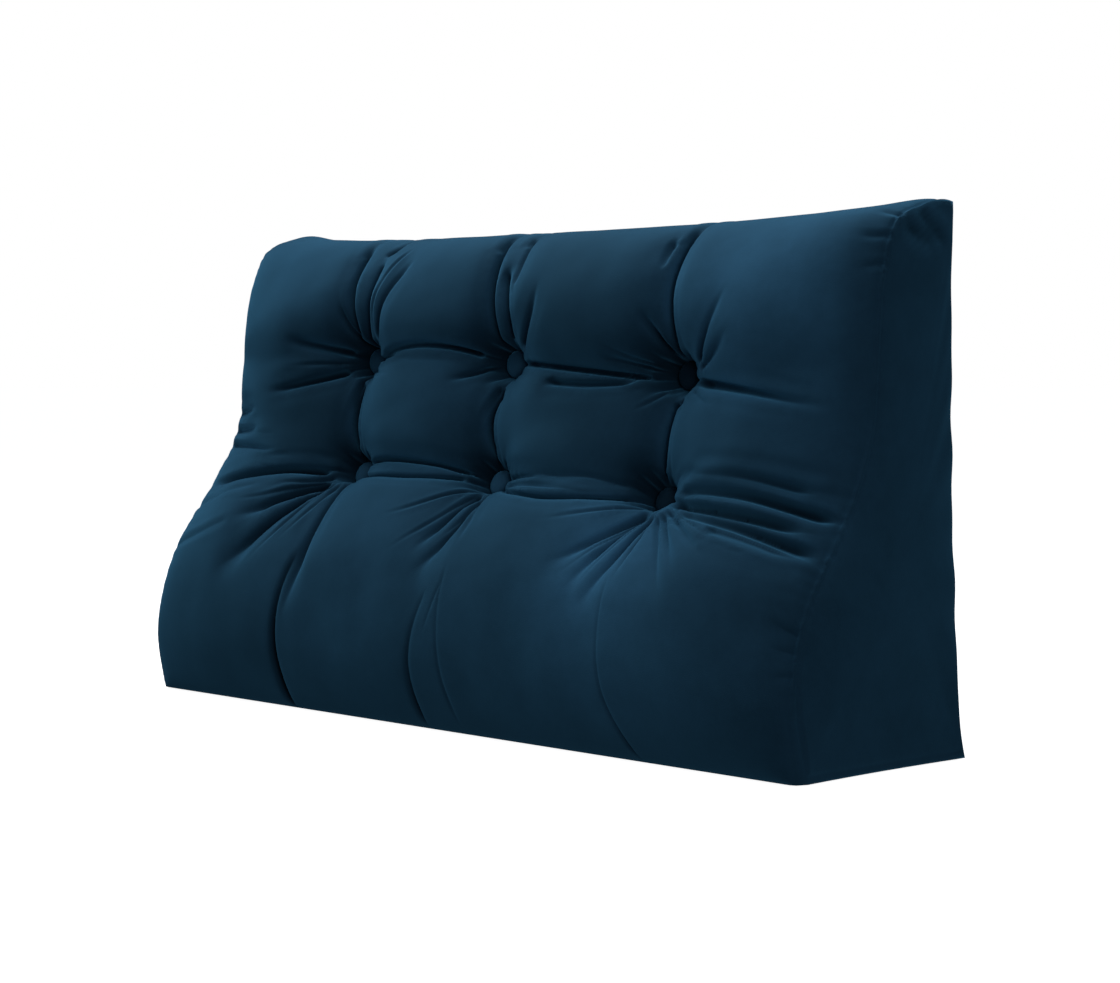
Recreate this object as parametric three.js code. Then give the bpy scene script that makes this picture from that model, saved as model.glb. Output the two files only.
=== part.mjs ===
// A wedge-shaped back cushion: one stuffed velvet case, drawn in by six covered buttons.
// Millimetres, +Z up. The tufted face looks towards -Y, the flat back towards +Y, and the
// cushion stands on its flat base with the origin in the middle of it.
import * as THREE from 'three';

// Case
const LENGTH = 900; // between the two end seams
const TOP_SAG = 17; // how far the tufts draw the top seam down at mid length
const SAG_POWER = 2.5; // how suddenly the sag ends near the corners
const SAG_FROM_HEIGHT = 380; // the sag fades out below this height
const END_DRAW_IN = 7; // how far each end seam is drawn in between its corners
const END_PUFF = 11; // how far each end panel swells beyond its seam
const END_ROLL = 130; // length over which the face rolls down to each end seam
const END_ROLL_POWER = 0.8; // below 1 for a fuller roll
const TOP_DRAW_IN = 4; // how far the top corners are drawn in
const TOP_DRAW_FROM = 300; // height at which that begins
const FOOT_FLARE = 10; // how far the back edge of each end stands out at the foot
const FOOT_HEIGHT = 380; // height at which that flare has died away
const EAR_FLARE = 4; // how far the lower back corner stands out beyond that
const EAR_HEIGHT = 50; // height at which that has died away
const CORNER_RADIUS = 12; // rounding of the two front corners at the base
const CORNER_HEIGHT = 130; // height at which the rounding has died away
const SEAM_LIFT = 2; // height of the base seams above the floor
const SEAM_SETBACK = 3; // how far the back seams stand in front of the back plane
const PANEL_ROLL = 34; // width of the soft edge round the flat back and the flat base
const PUSH_HALF_CHORD = 60; // the filling pushes square to a chord of the profile this long each way

// Tufts
const BUTTON_DIAMETER = 28;
const BUTTON_HEIGHT = 9;
const SEAT_RADIUS = 18; // flat cloth under each button
const SEAT_BLEND = 20; // width over which the seat runs out into the pit wall
const SEAT_GAP = 0.8; // clear space between a button and its seat

// Facets, closer together round the buttons
const COLUMNS = { count: 80, reach: 48, boost: 2.2 };
const ROWS = { count: 54, reach: 40, boost: 1.6 };
const PANEL_STEPS = [0.4, 1]; // where the soft edge of the back and base is divided
const TRACE_STEPS = 600; // fine steps along the profile, for its arc length
const END_RINGS = [0.88, 0.62, 0.3]; // sizes of the rings of points across each end panel
const END_CENTRE = { depth: 90, height: 185 }; // where those rings close
const BUTTON_SIDES = 20;

// Side view of the face, from the top seam forward, down and out to the base seam. The
// crown is what the filling adds to the depth half way between two tufts.
const PROFILE = [
  { depth: 4, height: 496, crown: 0 },
  { depth: 42, height: 500, crown: 6 },
  { depth: 78, height: 481, crown: 19 },
  { depth: 96, height: 440, crown: 37 },
  { depth: 103, height: 395, crown: 50 },
  { depth: 107, height: 350, crown: 52 },
  { depth: 116, height: 285, crown: 52 },
  { depth: 150, height: 218, crown: 51 },
  { depth: 204, height: 147, crown: 42 },
  { depth: 229, height: 72, crown: 29 },
  { depth: 224, height: SEAM_LIFT, crown: 0 },
];

// Two uneven rows of buttons, as they were tied. Tilt is how far a button looks upwards, sink how
// far its seat lies behind the line of the face, lean how far its pit opens towards one end, and
// reach how slowly the filling rises again round it.
const BUTTONS = [
  [
    { name: 'button_upper_left', x: -222, height: 360, tilt: 6, sink: 8, lean: -3, reach: 25 },
    { name: 'button_upper_middle', x: -10, height: 357, tilt: 6, sink: 7, lean: 9, reach: 26 },
    { name: 'button_upper_right', x: 222, height: 346, tilt: 6, sink: 8, lean: 14, reach: 25 },
  ],
  [
    { name: 'button_lower_left', x: -210, height: 242, tilt: 22, sink: 8, lean: -3, reach: 25 },
    { name: 'button_lower_middle', x: -1, height: 239, tilt: 22, sink: 7, lean: 9, reach: 26 },
    { name: 'button_lower_right', x: 225, height: 231, tilt: 22, sink: 8, lean: 14, reach: 25 },
  ],
];

// Half section of a button, in shares of its radius and height
const BUTTON_OUTLINE = [
  { out: 0, up: 0 },
  { out: 0.86, up: 0 },
  { out: 1, up: 0.3 },
  { out: 0.95, up: 0.58 },
  { out: 0.7, up: 0.86 },
  { out: 0.36, up: 0.97 },
  { out: 0, up: 1 },
];

// Broad valleys that the ties pull into the face: depth is a share of the crown.
const VALLEYS = {
  over_the_top: { depth: 0.45, width: 26 },
  between_rows: { depth: 0.45, width: 20 },
  to_the_base: { depth: 0.32, width: 26 },
  along_a_row: { depth: 0.36, width: 16 },
  to_an_end: { depth: 0.3, width: 20 },
};

// Folds that run out from the buttons and die away. Run and drop say where a fold ends,
// along the length and down the face from its button.
const FOLDS = [
  { button: 'button_upper_left', run: -45, drop: -150, depth: 0.5, width: 10 },
  { button: 'button_upper_left', run: -4, drop: -160, depth: 0.55, width: 9 },
  { button: 'button_upper_left', run: 28, drop: -130, depth: 0.4, width: 9 },
  { button: 'button_upper_left', run: -130, drop: -24, depth: 0.35, width: 10 },
  { button: 'button_upper_left', run: -125, drop: 26, depth: 0.35, width: 10 },
  { button: 'button_upper_left', run: 110, drop: -22, depth: 0.35, width: 9 },
  { button: 'button_upper_middle', run: -40, drop: -150, depth: 0.5, width: 10 },
  { button: 'button_upper_middle', run: -8, drop: -160, depth: 0.45, width: 9 },
  { button: 'button_upper_middle', run: 38, drop: -100, depth: 0.4, width: 10 },
  { button: 'button_upper_middle', run: -85, drop: 30, depth: 0.35, width: 9 },
  { button: 'button_upper_right', run: -9, drop: -190, depth: 0.55, width: 10 },
  { button: 'button_upper_right', run: 55, drop: -90, depth: 0.4, width: 9 },
  { button: 'button_upper_right', run: 78, drop: -52, depth: 0.35, width: 9 },
  { button: 'button_upper_right', run: -42, drop: -62, depth: 0.4, width: 9 },
  { button: 'button_upper_right', run: -110, drop: -24, depth: 0.35, width: 9 },
  { button: 'button_upper_right', run: 138, drop: 22, depth: 0.35, width: 10 },
  { button: 'button_lower_left', run: -210, drop: -18, depth: 0.4, width: 9 },
  { button: 'button_lower_left', run: -190, drop: 14, depth: 0.4, width: 9 },
  { button: 'button_lower_left', run: -110, drop: 62, depth: 0.4, width: 10 },
  { button: 'button_lower_left', run: -108, drop: 130, depth: 0.4, width: 10 },
  { button: 'button_lower_left', run: -26, drop: 235, depth: 0.55, width: 12 },
  { button: 'button_lower_middle', run: -45, drop: 100, depth: 0.4, width: 10 },
  { button: 'button_lower_middle', run: -22, drop: 235, depth: 0.45, width: 11 },
  { button: 'button_lower_middle', run: 24, drop: 210, depth: 0.35, width: 11 },
  { button: 'button_lower_right', run: -85, drop: 88, depth: 0.4, width: 9 },
  { button: 'button_lower_right', run: -42, drop: 118, depth: 0.4, width: 9 },
  { button: 'button_lower_right', run: 14, drop: 230, depth: 0.3, width: 10 },
  { button: 'button_lower_right', run: 60, drop: 95, depth: 0.35, width: 9 },
  { button: 'button_lower_right', run: 185, drop: -14, depth: 0.4, width: 9 },
  { button: 'button_lower_right', run: 180, drop: 20, depth: 0.5, width: 9 },
  { button: 'button_lower_right', run: 185, drop: 48, depth: 0.4, width: 9 },
];

const CLOTH = { color: 0x17324a, roughness: 0.9, metalness: 0 };

// The profile as a fine trace with its arc length
const curve = new THREE.CatmullRomCurve3(
  PROFILE.map((row) => new THREE.Vector3(row.depth, row.crown, row.height)),
  false,
  'catmullrom',
  0.5,
);
const trace = curve.getPoints(TRACE_STEPS);
const traceArcs = [0];
for (let i = 1; i < trace.length; i += 1) {
  const run = Math.hypot(trace[i].x - trace[i - 1].x, trace[i].z - trace[i - 1].z);
  traceArcs.push(traceArcs[i - 1] + run);
}
const FACE_ARC = traceArcs[traceArcs.length - 1];

// Depth, crown and height at an arc length from the top seam, as the x, y and z of a vector
function profileAt(arc) {
  const wanted = THREE.MathUtils.clamp(arc, 0, FACE_ARC);
  let i = 1;
  while (i < traceArcs.length - 1 && traceArcs[i] < wanted) i += 1;
  const share = (wanted - traceArcs[i - 1]) / (traceArcs[i] - traceArcs[i - 1]);
  return trace[i - 1].clone().lerp(trace[i], share);
}

// The way the filling pushes the face, square to a long chord so that it turns gently
function pushAt(arc) {
  const above = profileAt(arc - PUSH_HALF_CHORD);
  const below = profileAt(arc + PUSH_HALF_CHORD);
  const chord = new THREE.Vector2(below.x - above.x, below.z - above.z).normalize();
  return { depth: -chord.y, height: chord.x };
}

// Arc length at which the face passes a height, counted from below
function arcAtHeight(height) {
  let i = trace.length - 1;
  while (i > 0 && trace[i].z < height) i -= 1;
  return traceArcs[i];
}

const tufts = BUTTONS.map((row) =>
  row.map((button) => {
    const arc = arcAtHeight(button.height);
    const place = profileAt(arc);
    const tilt = THREE.MathUtils.degToRad(button.tilt);
    const axis = { depth: Math.cos(tilt), height: Math.sin(tilt) };
    const seat = {
      depth: place.x - button.sink * axis.depth,
      height: place.z - button.sink * axis.height,
    };
    return { ...button, arc, axis, seat };
  }),
);

// Every valley as a straight line on the flat face, from one tie to the next or to an edge
function valleyLines() {
  const lines = [];
  const [upper, lower] = tufts;
  upper.forEach((top, column) => {
    const under = lower[column];
    lines.push({ from: top, to: { x: top.x, arc: 0 }, ...VALLEYS.over_the_top });
    lines.push({ from: top, to: under, ...VALLEYS.between_rows });
    lines.push({ from: under, to: { x: under.x, arc: FACE_ARC }, ...VALLEYS.to_the_base });
  });
  for (const row of tufts) {
    const first = row[0];
    const last = row[row.length - 1];
    for (let i = 1; i < row.length; i += 1) {
      lines.push({ from: row[i - 1], to: row[i], ...VALLEYS.along_a_row });
    }
    lines.push({ from: first, to: { x: -LENGTH / 2, arc: first.arc }, ...VALLEYS.to_an_end });
    lines.push({ from: last, to: { x: LENGTH / 2, arc: last.arc }, ...VALLEYS.to_an_end });
  }
  return lines;
}
const valleys = valleyLines();

// Each fold as a line on the flat face, too
const folds = FOLDS.map(({ button, run, drop, depth, width }) => {
  const from = tufts.flat().find((tuft) => tuft.name === button);
  return { from, to: { x: from.x + run, arc: from.arc + drop }, depth, width };
});

// How far along a line a point lies, from 0 to 1, and how far off it
function nearLine(x, arc, { from, to }) {
  const along = { x: to.x - from.x, arc: to.arc - from.arc };
  const share =
    ((x - from.x) * along.x + (arc - from.arc) * along.arc) / (along.x ** 2 + along.arc ** 2);
  const held = THREE.MathUtils.clamp(share, 0, 1);
  const off = Math.hypot(x - from.x - held * along.x, arc - from.arc - held * along.arc);
  return { held, off };
}

// How far the face stands out from its profile: the crown, less what the ties take
function swell(x, arc, crown) {
  const fromEnd = Math.min(1, (LENGTH / 2 - Math.abs(x)) / END_ROLL);
  let out = crown * Math.sin((Math.PI / 2) * fromEnd) ** END_ROLL_POWER;
  for (const valley of valleys) {
    const { off } = nearLine(x, arc, valley);
    out *= 1 - valley.depth * Math.exp(-off / valley.width);
  }
  for (const fold of folds) {
    const { held, off } = nearLine(x, arc, fold);
    out *= 1 - fold.depth * (1 - held) * Math.exp(-off / fold.width);
  }
  for (const tuft of tufts.flat()) {
    const away = Math.hypot(x - tuft.lean - tuft.x, arc - tuft.arc);
    out *= 1 - Math.exp(-Math.max(0, away - SEAT_RADIUS / 2) / tuft.reach);
  }
  return out;
}

// The top seam hangs between its corners
function sag(x, height) {
  const along = 1 - Math.abs((2 * x) / LENGTH) ** SAG_POWER;
  return TOP_SAG * along * THREE.MathUtils.smoothstep(height, SAG_FROM_HEIGHT, PROFILE[0].height);
}

// How far the ends are drawn in towards their top corners
function topDrawIn(height) {
  return TOP_DRAW_IN * THREE.MathUtils.smoothstep(height, TOP_DRAW_FROM, PROFILE[0].height);
}

// How far the two front corners are rounded back
function corner(x, height) {
  const past = THREE.MathUtils.clamp(1 - (LENGTH / 2 - Math.abs(x)) / CORNER_RADIUS, 0, 1);
  const fade = 1 - THREE.MathUtils.smoothstep(height, 0, CORNER_HEIGHT);
  return CORNER_RADIUS * (1 - Math.sqrt(1 - past * past)) * fade;
}

// One point of the tufted face, with the cloth laid flat under each button
function facePoint(x, arc) {
  const place = profileAt(arc);
  const push = pushAt(arc);
  const out = swell(x, arc, place.y);
  let depth = place.x + out * push.depth - corner(x, place.z);
  let height = place.z + out * push.height - sag(x, place.z);
  for (const { seat, axis, ...tuft } of tufts.flat()) {
    const away = Math.hypot(x - tuft.x, arc - tuft.arc);
    const flat = 1 - THREE.MathUtils.smoothstep(away, SEAT_RADIUS, SEAT_RADIUS + SEAT_BLEND);
    const rise = tuft.arc - arc;
    depth += flat * (seat.depth - rise * axis.height - depth);
    height += flat * (seat.height + rise * axis.depth - height);
  }
  const drawIn = END_DRAW_IN * Math.sin((Math.PI * arc) / FACE_ARC) + topDrawIn(place.z);
  return { depth, height, drawIn };
}

// A soft edge: full at the seam, gone at the roll's width, and exactly flat beyond it
function softEdge(fromSeam) {
  return Math.max(0, 1 - fromSeam / PANEL_ROLL) ** 2;
}

function basePoint(x, share) {
  const front = PROFILE[PROFILE.length - 1].depth;
  const depth = share - (corner(x, 0) * (share - SEAM_SETBACK)) / (front - SEAM_SETBACK);
  const nearest = Math.min(front - share, share - SEAM_SETBACK, LENGTH / 2 - Math.abs(x));
  const drawIn = -(FOOT_FLARE + EAR_FLARE) * (1 - share / front) ** 2;
  return { depth, height: SEAM_LIFT * softEdge(nearest), drawIn };
}

function backPoint(x, height) {
  const top = PROFILE[0].height;
  const nearest = Math.min(height - SEAM_LIFT, top - height, LENGTH / 2 - Math.abs(x));
  const foot = FOOT_FLARE * Math.max(0, 1 - height / FOOT_HEIGHT) ** 2;
  const ear = EAR_FLARE * Math.max(0, 1 - height / EAR_HEIGHT) ** 2;
  return {
    depth: SEAM_SETBACK * softEdge(nearest),
    height: height - sag(x, height),
    drawIn: END_DRAW_IN * Math.sin((Math.PI * height) / top) + topDrawIn(height) - foot - ear,
  };
}

// How far an end panel stands out beyond the plane of its seam
function endSwell(depth, height) {
  const reach = profileAt(arcAtHeight(height)).x;
  const across = THREE.MathUtils.clamp(depth / reach, 0, 1);
  const up = THREE.MathUtils.clamp(height / PROFILE[0].height, 0, 1);
  return END_PUFF * 4 * across * (1 - across) * Math.sqrt(4 * up * (1 - up));
}

// Positions from one end to the other, closer together round the given centres
function graded({ count, reach, boost }, from, to, centres) {
  const samples = 2000;
  const sums = [0];
  for (let i = 0; i < samples; i += 1) {
    const place = from + ((i + 0.5) * (to - from)) / samples;
    const near = centres.reduce((sum, c) => sum + Math.exp(-(((place - c) / reach) ** 2)), 0);
    sums.push(sums[i] + 1 + boost * near);
  }
  const places = [];
  let i = 0;
  for (let k = 0; k <= count; k += 1) {
    const wanted = (sums[samples] * k) / count;
    while (i < samples - 1 && sums[i + 1] < wanted) i += 1;
    const share = (wanted - sums[i]) / (sums[i + 1] - sums[i]);
    places.push(from + ((i + share) * (to - from)) / samples);
  }
  return places;
}

const mean = (values) => values.reduce((sum, v) => sum + v, 0) / values.length;

function buildCase() {
  const columnCentres = tufts[0].map((top, i) => mean([top.x, tufts[1][i].x]));
  const rowCentres = tufts.map((row) => mean(row.map((tuft) => tuft.arc)));
  const stations = graded(COLUMNS, -LENGTH / 2, LENGTH / 2, columnCentres);
  const arcs = graded(ROWS, 0, FACE_ARC, rowCentres);

  const frontDepth = PROFILE[PROFILE.length - 1].depth;
  const topHeight = PROFILE[0].height;
  const across = (from, to) => [
    ...PANEL_STEPS.map((share) => from + Math.sign(to - from) * share * PANEL_ROLL),
    (from + to) / 2,
    ...PANEL_STEPS.map((share) => to - Math.sign(to - from) * share * PANEL_ROLL).reverse(),
  ];
  const baseDepths = across(frontDepth, SEAM_SETBACK);
  const backHeights = [SEAM_LIFT, ...across(SEAM_LIFT, topHeight)];

  // A closed loop of points at each station: face, base, back
  const positions = [];
  const addPoint = (x, y, z) => positions.push(x, y, z) / 3 - 1;
  const loops = stations.map((x) => {
    const points = [
      ...arcs.map((arc) => facePoint(x, arc)),
      ...baseDepths.map((depth) => basePoint(x, depth)),
      ...backHeights.map((height) => backPoint(x, height)),
    ];
    return points.map(({ depth, height, drawIn }) =>
      addPoint(x * (1 - (2 * drawIn) / LENGTH), -depth, height),
    );
  });

  const faces = [];
  const band = (outer, inner, flip) => {
    outer.forEach((a, j) => {
      const next = (j + 1) % outer.length;
      const [b, c, d] = [outer[next], inner[next], inner[j]];
      faces.push(...(flip ? [a, c, b, a, d, c] : [a, b, c, a, c, d]));
    });
  };
  for (let i = 1; i < loops.length; i += 1) band(loops[i - 1], loops[i], false);

  // End panels: rings that shrink towards the middle while the panel swells out
  const closeEnd = (seam, side) => {
    const centreX = side * (LENGTH / 2 - END_DRAW_IN);
    const ringPoint = (index, size) => {
      const [x, y, z] = positions.slice(3 * index, 3 * index + 3);
      const depth = THREE.MathUtils.lerp(END_CENTRE.depth, -y, size);
      const height = THREE.MathUtils.lerp(END_CENTRE.height, z, size);
      const flat = THREE.MathUtils.lerp(centreX, x, size);
      return addPoint(flat + side * endSwell(depth, height), -depth, height);
    };
    let outer = seam;
    for (const size of END_RINGS) {
      const inner = seam.map((index) => ringPoint(index, size));
      band(outer, inner, side < 0);
      outer = inner;
    }
    const middle = ringPoint(seam[0], 0);
    outer.forEach((a, j) => {
      const b = outer[(j + 1) % outer.length];
      faces.push(...(side < 0 ? [b, a, middle] : [a, b, middle]));
    });
  };
  closeEnd(loops[0], -1);
  closeEnd(loops[loops.length - 1], 1);

  const geometry = new THREE.BufferGeometry();
  geometry.setAttribute('position', new THREE.Float32BufferAttribute(positions, 3));
  geometry.setIndex(faces);
  geometry.computeVertexNormals();
  return geometry;
}

// A covered button: flat back, rounded rim and a low dome, turned about +Y
function buildButton() {
  const points = BUTTON_OUTLINE.map(
    ({ out, up }) => new THREE.Vector2((out * BUTTON_DIAMETER) / 2, up * BUTTON_HEIGHT),
  );
  return new THREE.LatheGeometry(points, BUTTON_SIDES);
}

const cushion = new THREE.Group();

const stuffedCase = new THREE.Mesh(buildCase(), new THREE.MeshStandardMaterial(CLOTH));
stuffedCase.name = 'cushion';
cushion.add(stuffedCase);

for (const { name, x, seat, axis } of tufts.flat()) {
  const button = new THREE.Mesh(buildButton(), new THREE.MeshStandardMaterial(CLOTH));
  button.name = name;
  button.rotation.x = Math.atan2(axis.height, -axis.depth);
  button.position.set(
    x,
    -seat.depth - SEAT_GAP * axis.depth,
    seat.height + SEAT_GAP * axis.height,
  );
  cushion.add(button);
}

// Bring the middle of the base to the origin
const box = new THREE.Box3().setFromObject(cushion);
const middle = box.getCenter(new THREE.Vector3());
cushion.position.set(-middle.x, -middle.y, -box.min.z);

const part = new THREE.Group();
part.add(cushion);

export default part;
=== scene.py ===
"""A button-tufted velvet wedge cushion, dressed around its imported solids.

The cloth is worked out in millimetres on the flat face: x runs along the length and arc runs
down the face from the top seam. Depth is counted forward from the back plane.
"""

import math

import bpy
import numpy as np
from mathutils import Matrix, Vector
from mathutils.geometry import delaunay_2d_cdt


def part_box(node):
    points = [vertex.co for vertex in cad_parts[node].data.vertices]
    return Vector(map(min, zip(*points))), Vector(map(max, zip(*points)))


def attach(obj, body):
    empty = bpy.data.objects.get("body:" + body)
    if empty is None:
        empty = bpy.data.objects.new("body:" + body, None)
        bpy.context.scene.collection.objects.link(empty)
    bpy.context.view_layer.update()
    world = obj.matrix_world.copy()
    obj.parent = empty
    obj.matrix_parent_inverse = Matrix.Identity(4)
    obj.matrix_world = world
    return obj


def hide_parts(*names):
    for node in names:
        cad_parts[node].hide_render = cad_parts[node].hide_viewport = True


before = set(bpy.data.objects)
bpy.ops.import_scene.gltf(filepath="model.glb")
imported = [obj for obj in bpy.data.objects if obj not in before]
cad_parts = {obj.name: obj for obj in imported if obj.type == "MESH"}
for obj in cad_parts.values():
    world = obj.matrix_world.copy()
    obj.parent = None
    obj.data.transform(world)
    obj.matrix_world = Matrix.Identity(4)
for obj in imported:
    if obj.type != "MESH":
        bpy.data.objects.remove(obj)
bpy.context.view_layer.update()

MM = 0.001
TINY = 1e-9  # keeps lengths off zero
BACK_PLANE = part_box("cushion")[1].y

# Case before the filling presses it out. Its form is close to that of the solids, which have the
# pressed-out crown.
LENGTH = 900.0
TOP_SAG = 14.0
SAG_FROM_HEIGHT = 380.0
SAG_POWER = 3.5
END_DRAW_IN = 7.0
END_PUFF = 11.0
END_PUFF_POWER = 0.7
END_ROOM = 5000.0
END_ROLL = 130.0
END_ROLL_POWER = 0.8
TOP_DRAW_IN = 4.0
TOP_DRAW_FROM = 300.0
FOOT_FLARE = 10.0
FOOT_HEIGHT = 480.0
EAR_FLARE = 4.0
EAR_HEIGHT = 50.0
TIP_RISE = 6.0  # of the top back corners
TIP_FROM_END = 70.0
TIP_DEPTHS = (60.0, 12.0)  # between which it comes in
TIP_HEIGHT = 150.0  # below the top, over which it fades out down the back
SEAM_LIFT = 2.0
SEAM_SETBACK = 3.0
SEAM_WOBBLE = 0.7  # of the rear end edges
SEAM_WAVES = (61.0, 103.0)  # lengths of its waves up the back
PANEL_ROLL = 34.0
CORNER_RADIUS = 12.0
CORNER_HEIGHT = 130.0
PUSH_HALF_CHORD = 60.0

# Side view of the face: depth, height, crown
PROFILE = np.array([
    (4, 496, 0),
    (42, 494, 2),
    (78, 481, 14),
    (96, 440, 31),
    (103, 395, 44),
    (107, 350, 46),
    (116, 285, 46),
    (150, 218, 44),
    (204, 147, 34),
    (229, 72, 20),
    (224, SEAM_LIFT, 0),
], float)
TRACE_STEPS = 600

# Buttons: node, x, height, tilt upwards in degrees, how far the seat is sunk, and the lean along the
# length and the reach of the pit
BUTTONS = (
    ("button_upper_left", -222, 360, 6, 8, -3, 25),
    ("button_upper_middle", -10, 357, 6, 7, 9, 26),
    ("button_upper_right", 222, 346, 6, 8, 14, 25),
    ("button_lower_left", -210, 242, 22, 8, -3, 25),
    ("button_lower_middle", -1, 239, 22, 7, 9, 26),
    ("button_lower_right", 225, 231, 22, 8, 14, 25),
)
BUTTON_RADIUS = 14.0
BUTTON_HEIGHT = 9.0
SEAT_RADIUS = 13.5
SEAT_BLEND = 14.0
SEAT_GAP = 0.8

# Broad valleys between the ties: depth as a share of the crown, width
OVER_THE_TOP = (0.25, 26)
BETWEEN_ROWS = (0.38, 20)
TO_THE_BASE = (0.06, 30)
ALONG_A_ROW = (0.30, 16)
TO_AN_END = (0.14, 22)
VALLEY_ROUNDING = 9.0

# Folds on the flat face: x and arc of the start, x and arc of the end, bow to the left of that
# way, width, depth, and the share of the depth at the start and the end
FOLDS = (
    # Above the upper left button
    (-234, 182, -252, 74, 0, 4.5, 7, 0.7, 0.8),
    (-232, 188, -256, 132, 3, 4.5, 6, 1.0, 0.1),
    (-221, 184, -211, 98, -2, 4.5, 7, 1.0, 0.8),
    (-218, 90, -206, 66, 0, 4.5, 5, 0.4, 0.9),
    (-196, 184, -154, 100, 7, 4.5, 4, 0.7, 0.5),
    # Left and right of it
    (-240, 197, -330, 182, 0, 6.0, 9, 1.0, 0.1),
    (-244, 216, -350, 245, 2, 6.0, 9, 1.0, 0.2),
    (-204, 204, -138, 199, 2, 4.5, 6, 0.9, 0.0),
    (-196, 200, -31, 201, 11, 4.5, 9, 0.4, 1.0),
    # Above and left of the upper middle one
    (-27, 211, -72, 232, 0, 4.5, 6, 1.0, 0.0),
    (-20, 190, -43, 62, -5, 4.5, 7, 0.7, 0.9),
    (2, 182, -15, 110, -6, 4.5, 7, 1.0, 0.7),
    (11, 132, -8, 68, -3, 4.5, 5, 0.2, 0.9),
    (20, 190, 52, 126, -9, 5.0, 5, 0.8, 0.1),
    # Between the upper middle and the upper right one
    (8, 206, 205, 223, 0, 4.5, 9, 0.8, 1.0),
    (70, 228, 192, 226, -4, 5.0, 8, 0.7, 0.7),
    (203, 214, 138, 199, 0, 4.5, 6, 1.0, 0.1),
    # Above and right of the upper right one
    (226, 198, 219, 72, 1, 4.5, 8, 1.0, 0.8),
    (206, 120, 202, 90, 0, 5.0, 4, 0.3, 0.8),
    (217, 198, 191, 158, 0, 4.5, 6, 1.0, 0.2),
    (256, 208, 304, 140, -2, 4.5, 4, 0.9, 0.2),
    (260, 213, 318, 176, -2, 5.0, 4, 1.0, 0.1),
    (246, 225, 415, 252, 2, 6.0, 11, 1.0, 0.2),
    (238, 242, 220, 270, 0, 4.5, 4, 1.0, 0.0),
    # Between the rows
    (-230, 222, -231, 274, 0, 4.5, 6, 1.0, 0.2),
    (-222, 228, -217, 310, -7, 4.5, 9, 1.0, 1.0),
    (-14, 231, -22, 276, 0, 4.5, 5, 1.0, 0.0),
    (-5, 232, -3, 313, -10, 4.5, 8, 1.0, 1.0),
    (227, 244, 226, 320, 0, 4.5, 9, 1.0, 1.0),
    # Left of the lower left one
    (-440, 264, -365, 264, 0, 5.0, 4, 1.0, 0.0),
    (-440, 286, -345, 292, 0, 5.0, 5, 1.0, 0.0),
    (-440, 303, -300, 327, 0, 5.0, 5, 1.0, 0.0),
    (-236, 336, -420, 366, 2, 7.0, 11, 1.0, 0.5),
    (-232, 340, -292, 366, 8, 4.5, 5, 1.0, 0.1),
    (-229, 348, -330, 416, 8, 6.5, 11, 1.0, 0.1),
    (-222, 352, -330, 470, 10, 6.5, 12, 1.0, 0.1),
    # Between the lower left and the lower middle one
    (-192, 319, -18, 330, 2, 4.5, 7, 0.8, 1.0),
    (-194, 338, -20, 338, -8, 4.5, 9, 0.9, 0.9),
    # Below the lower left one
    (-206, 350, -206, 505, 16, 6.0, 9, 0.8, 0.1),
    # Below the lower middle one
    (2, 352, -33, 440, 8, 5.0, 6, 1.0, 0.0),
    (8, 354, -29, 460, 23, 5.0, 6, 1.0, 0.0),
    (11, 354, 32, 436, 8, 5.0, 4, 0.8, 0.0),
    # Between the lower middle and the lower right one
    (20, 328, 112, 341, 0, 4.5, 5, 1.0, 0.1),
    (18, 338, 184, 354, -4, 4.5, 5, 0.9, 0.2),
    (14, 342, 211, 350, -18, 4.5, 9, 0.9, 1.0),
    # Below the lower right one
    (236, 362, 150, 440, 12, 5.0, 7, 1.0, 0.0),
    (240, 364, 186, 462, 5, 5.0, 7, 1.0, 0.0),
    (248, 366, 203, 474, 13, 5.0, 6, 1.0, 0.0),
    (256, 372, 319, 466, 2, 4.5, 6, 0.7, 0.0),
    (260, 368, 329, 443, 0, 4.5, 7, 0.8, 0.0),
    (260, 363, 356, 426, 0, 4.5, 8, 0.8, 0.0),
    # Right of the lower right one
    (278, 325, 430, 336, 0, 7.0, 9, 0.1, 0.7),
    (258, 340, 449, 356, -1, 7.5, 13, 0.3, 0.9),
    (254, 352, 440, 375, -5, 7.5, 13, 1.0, 0.6),
    (280, 370, 449, 395, -2, 7.5, 13, 0.4, 0.8),
    (330, 390, 434, 404, 0, 7.0, 10, 0.4, 0.4),
    # Puckers at the right end
    (449, 70, 418, 66, 2, 4.5, 3, 1.0, 0.0),
    (449, 92, 415, 98, 2, 4.5, 3, 1.0, 0.0),
    (449, 118, 425, 128, 0, 4.5, 3, 1.0, 0.0),
    (449, 466, 418, 456, 2, 4.5, 3, 1.0, 0.0),
    (449, 482, 422, 480, 0, 4.5, 3, 1.0, 0.0),
    (449, 500, 430, 503, 0, 4.5, 3, 1.0, 0.0),
)

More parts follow.
